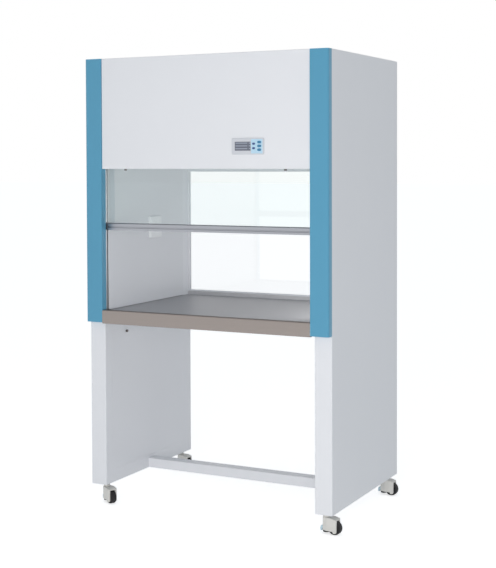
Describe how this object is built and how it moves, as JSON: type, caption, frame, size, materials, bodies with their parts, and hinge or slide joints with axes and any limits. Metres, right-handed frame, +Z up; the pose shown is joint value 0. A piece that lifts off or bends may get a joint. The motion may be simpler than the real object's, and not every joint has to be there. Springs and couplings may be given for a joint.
{
  "type": "laminar flow hood",
  "caption": "Vertical laminar flow clean bench on casters, with a glass sash, blue front columns, steel worktop and see-through rear.",
  "frame": {"origin": "on the floor, under the middle of the bench", "axes": "+X to the right, the user stands on the -Y side, +Z up"},
  "size_m": [1.0199, 0.692, 1.7],
  "materials": {
    "white_paint": "smooth semi-gloss powder coat, cool white",
    "grey_paint": "smooth semi-gloss powder coat, light grey",
    "blue_paint": "smooth semi-gloss powder coat, sky blue",
    "stainless": "brushed stainless sheet",
    "galvanised": "galvanised sheet",
    "aluminium": "satin anodised extrusion",
    "clear_glass": "clear tempered glass, faint green edge",
    "steel": "plain zinc-plated steel",
    "black_screw": "blackened steel",
    "cast_weight": "grey cast iron, painted",
    "pulley_nylon": "natural nylon",
    "filter": "pleated filter paper in a frame",
    "lamp_glass": "opal lamp glass",
    "bezel": "light grey moulded plastic",
    "display": "dark liquid crystal window",
    "key_blue": "dark blue key caps",
    "key_dark": "dark grey key caps",
    "socket_plastic": "white moulded plastic",
    "inlet_plastic": "black moulded plastic",
    "caster_nylon": "light grey nylon",
    "caster_tyre": "black rubber",
    "foot_rubber": "black rubber pad on a steel spindle, with a pale blue lever"
  },
  "bodies": {
    "cabinet": {"blower_housing": "galvanised", "blower_motor": "cast_weight", "caster_stems": "steel", "control_panel": "bezel", "diffuser_plate": "grey_paint", "display_window": "display", "front_panel": "white_paint", "hepa_filter": "filter", "lamp_fitting": "white_paint", "lamp_tubes": "lamp_glass", "left_chamber_wall": "grey_paint", "left_column": "blue_paint", "left_lower_panel": "grey_paint", "left_outer_panel": "white_paint", "left_sash_guide": "aluminium", "left_side_frame": "white_paint", "mains_inlet": "inlet_plastic", "panel_screws": "black_screw", "plenum_case": "galvanised", "prefilter": "filter", "pulley_rail": "galvanised", "rear_glass": "clear_glass", "rear_panel": "white_paint", "rear_window_frame": "aluminium", "right_chamber_wall": "grey_paint", "right_column": "blue_paint", "right_lower_panel": "grey_paint", "right_outer_panel": "white_paint", "right_sash_guide": "aluminium", "right_side_frame": "white_paint", "roof_panel": "white_paint", "sash_cables": "steel", "stretcher": "white_paint", "wall_socket": "socket_plastic", "worktop": "stainless"},
    "sash": {"sash_glass": "clear_glass", "sash_handle": "aluminium", "sash_clamps": "steel"},
    "left_weight": {"left_counterweight": "cast_weight"},
    "right_weight": {"right_counterweight": "cast_weight"},
    "left_pulley_wheel": {"left_pulley": "pulley_nylon"},
    "right_pulley_wheel": {"right_pulley": "pulley_nylon"},
    "fan_rotor": {"impeller": "aluminium"},
    "key_fan_cap": {"key_fan": "key_blue"},
    "key_light_cap": {"key_light": "key_blue"},
    "key_lamp_cap": {"key_lamp": "key_blue"},
    "key_up_cap": {"key_up": "key_dark"},
    "key_down_cap": {"key_down": "key_dark"},
    "front_right_caster": {"front_right_caster_hood": "caster_nylon"},
    "front_right_wheel": {"front_right_caster_wheel": "caster_tyre"},
    "front_right_foot": {"front_right_levelling_foot": "foot_rubber"},
    "rear_right_caster": {"rear_right_caster_hood": "caster_nylon"},
    "rear_right_wheel": {"rear_right_caster_wheel": "caster_tyre"},
    "rear_right_foot": {"rear_right_levelling_foot": "foot_rubber"},
    "front_left_caster": {"front_left_caster_hood": "caster_nylon"},
    "front_left_wheel": {"front_left_caster_wheel": "caster_tyre"},
    "front_left_foot": {"front_left_levelling_foot": "foot_rubber"},
    "rear_left_caster": {"rear_left_caster_hood": "caster_nylon"},
    "rear_left_wheel": {"rear_left_caster_wheel": "caster_tyre"},
    "rear_left_foot": {"rear_left_levelling_foot": "foot_rubber"}
  },
  "joints": [
    {"name": "sash_slide", "type": "slide", "parent": "cabinet", "child": "sash", "axis": [0, 0, 1], "range_m": [-0.307, 0.07], "deforming": ["sash_cables"]},
    {"name": "left_weight_slide", "type": "slide", "parent": "cabinet", "child": "left_weight", "axis": [0, 0, 1], "range_m": [-0.07, 0.307]},
    {"name": "left_pulley_spin", "type": "hinge", "parent": "cabinet", "child": "left_pulley_wheel", "pos_m": [-0.4385, -0.281, 1.655], "axis": [0, -1, 0], "range_deg": [-620, 142]},
    {"name": "right_weight_slide", "type": "slide", "parent": "cabinet", "child": "right_weight", "axis": [0, 0, 1], "range_m": [-0.07, 0.307]},
    {"name": "right_pulley_spin", "type": "hinge", "parent": "cabinet", "child": "right_pulley_wheel", "pos_m": [0.4385, -0.281, 1.655], "axis": [0, 1, 0], "range_deg": [-620, 142]},
    {"name": "fan_spin", "type": "hinge", "parent": "cabinet", "child": "fan_rotor", "pos_m": [0, 0.04, 1.54506], "axis": [1, 0, 0], "continuous": true},
    {"name": "key_fan_press", "type": "slide", "parent": "cabinet", "child": "key_fan_cap", "axis": [0, 1, 0], "range_m": [0, 0.001], "stiffness_N_per_m": 400, "springref_m": -0.001},
    {"name": "key_light_press", "type": "slide", "parent": "cabinet", "child": "key_light_cap", "axis": [0, 1, 0], "range_m": [0, 0.001], "stiffness_N_per_m": 400, "springref_m": -0.001},
    {"name": "key_lamp_press", "type": "slide", "parent": "cabinet", "child": "key_lamp_cap", "axis": [0, 1, 0], "range_m": [0, 0.001], "stiffness_N_per_m": 400, "springref_m": -0.001},
    {"name": "key_up_press", "type": "slide", "parent": "cabinet", "child": "key_up_cap", "axis": [0, 1, 0], "range_m": [0, 0.001], "stiffness_N_per_m": 400, "springref_m": -0.001},
    {"name": "key_down_press", "type": "slide", "parent": "cabinet", "child": "key_down_cap", "axis": [0, 1, 0], "range_m": [0, 0.001], "stiffness_N_per_m": 400, "springref_m": -0.001},
    {"name": "front_right_swivel", "type": "hinge", "parent": "cabinet", "child": "front_right_caster", "pos_m": [0.46, -0.273, 0.06], "axis": [0, 0, 1], "continuous": true},
    {"name": "front_right_roll", "type": "hinge", "parent": "front_right_caster", "child": "front_right_wheel", "pos_m": [0.49437, -0.27601, 0.025], "axis": [0.0872, 0.9962, 0], "continuous": true},
    {"name": "front_right_foot_screw", "type": "slide", "parent": "front_right_caster", "child": "front_right_foot", "axis": [0, 0, 1], "range_m": [-0.006, 0]},
    {"name": "rear_right_swivel", "type": "hinge", "parent": "cabinet", "child": "rear_right_caster", "pos_m": [0.46, 0.303, 0.06], "axis": [0, 0, 1], "continuous": true},
    {"name": "rear_right_roll", "type": "hinge", "parent": "rear_right_caster", "child": "rear_right_wheel", "pos_m": [0.49445, 0.30119, 0.025], "axis": [0.0523, 0.9986, 0], "continuous": true},
    {"name": "rear_right_foot_screw", "type": "slide", "parent": "rear_right_caster", "child": "rear_right_foot", "axis": [0, 0, 1], "range_m": [-0.006, 0]},
    {"name": "front_left_swivel", "type": "hinge", "parent": "cabinet", "child": "front_left_caster", "pos_m": [-0.46, -0.273, 0.06], "axis": [0, 0, 1], "continuous": true},
    {"name": "front_left_roll", "type": "hinge", "parent": "front_left_caster", "child": "front_left_wheel", "pos_m": [-0.42954, -0.2892, 0.025], "axis": [0.4695, 0.8829, 0], "continuous": true},
    {"name": "front_left_foot_screw", "type": "slide", "parent": "front_left_caster", "child": "front_left_foot", "axis": [0, 0, 1], "range_m": [-0.006, 0]},
    {"name": "rear_left_swivel", "type": "hinge", "parent": "cabinet", "child": "rear_left_caster", "pos_m": [-0.46, 0.303, 0.06], "axis": [0, 0, 1], "continuous": true},
    {"name": "rear_left_roll", "type": "hinge", "parent": "rear_left_caster", "child": "rear_left_wheel", "pos_m": [-0.42602, 0.29701, 0.025], "axis": [0.1736, 0.9848, 0], "continuous": true},
    {"name": "rear_left_foot_screw", "type": "slide", "parent": "rear_left_caster", "child": "rear_left_foot", "axis": [0, 0, 1], "range_m": [-0.006, 0]}
  ],
  "couplings": [
    {"joint": "left_weight_slide", "follows": "sash_slide", "ratio": -1},
    {"joint": "left_pulley_spin", "follows": "sash_slide", "rad_per_m": 35.088},
    {"joint": "right_weight_slide", "follows": "sash_slide", "ratio": -1},
    {"joint": "right_pulley_spin", "follows": "sash_slide", "rad_per_m": 35.088}
  ]
}
